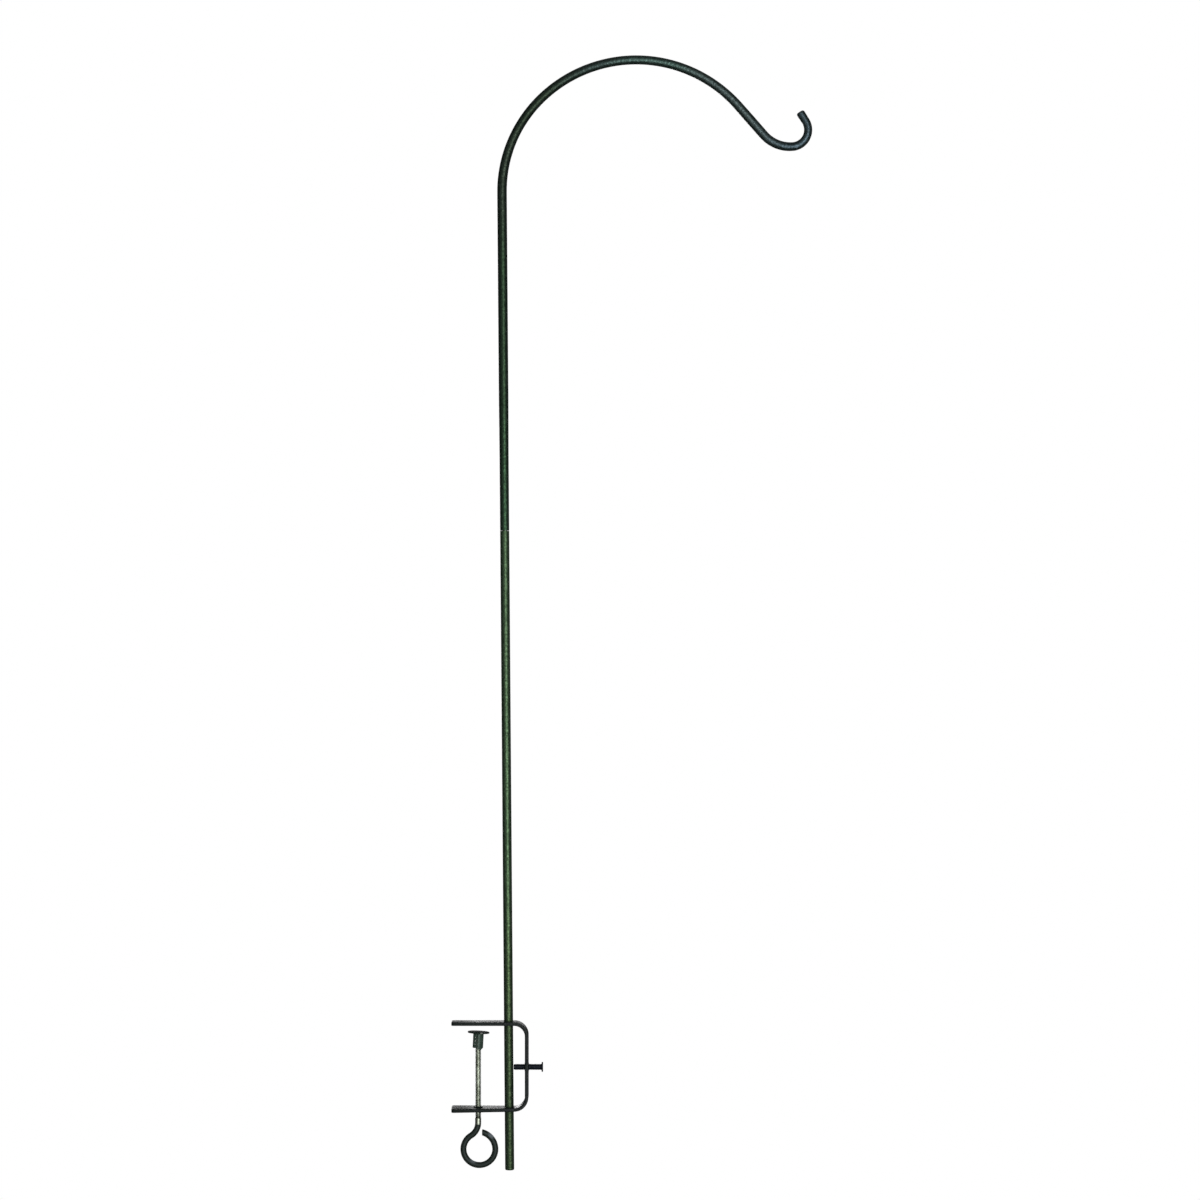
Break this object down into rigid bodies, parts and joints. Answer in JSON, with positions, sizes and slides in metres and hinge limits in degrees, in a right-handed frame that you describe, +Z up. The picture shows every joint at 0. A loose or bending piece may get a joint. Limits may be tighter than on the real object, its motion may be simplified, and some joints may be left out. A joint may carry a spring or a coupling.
{
  "type": "deck hook",
  "caption": "Bent steel crook on a two-section round pole, held to a deck rail by a flat-bar screw clamp, for hanging a planter or feeder.",
  "frame": {"origin": "underside of the clamp's upper arm, over the clamp screw's axis and in the middle of the bar's width: the spot that rests on the rail", "axes": "+Z up, along the clamp screw; +X from the jaw's open side towards its back, the way the crook reaches; +Y across the bar"},
  "size_m": [0.3784, 0.0254, 1.1681],
  "materials": {
    "pole_paint": "satin green-black hammered paint",
    "bracket_paint": "satin green-black paint",
    "pad_paint": "satin dark teal-grey paint",
    "thumb_paint": "satin black paint over the thread",
    "zinc": "bright zinc on the thread, black paint on the eye",
    "plain_steel": "plain"
  },
  "bodies": {
    "bracket": {"clamp_bracket": "bracket_paint"},
    "pole": {"lower_pole": "pole_paint"},
    "crook_section": {"crook": "pole_paint", "joint_stud": "plain_steel"},
    "pad": {"pressure_pad": "pad_paint", "swivel_sleeve": "pad_paint"},
    "clamp_screw": {"eye_screw": "zinc"},
    "thumb": {"thumb_screw": "thumb_paint"}
  },
  "joints": [
    {"name": "clamp_travel", "type": "slide", "parent": "bracket", "child": "pad", "axis": [0, 0, 1], "range_m": [-0.05715, 0.00603]},
    {"name": "clamp_turn", "type": "hinge", "parent": "pad", "child": "clamp_screw", "pos_m": [0, 0, -0.0861], "axis": [0, 0, 1], "range_deg": [-16200, 1710]},
    {"name": "pole_height", "type": "slide", "parent": "bracket", "child": "pole", "axis": [-0.0079, 0, 1], "range_m": [-0.86, 0.055]},
    {"name": "hook_swivel", "type": "hinge", "parent": "pole", "child": "crook_section", "pos_m": [0.0322, 0, -0.04305], "axis": [-0.0079, 0, 1], "continuous": true},
    {"name": "thumb_screw_travel", "type": "slide", "parent": "bracket", "child": "thumb", "axis": [1, 0, 0], "range_m": [0, 0.01]}
  ],
  "couplings": [
    {"joint": "clamp_travel", "follows": "clamp_turn", "m_per_rad": 0.00020213}
  ]
}
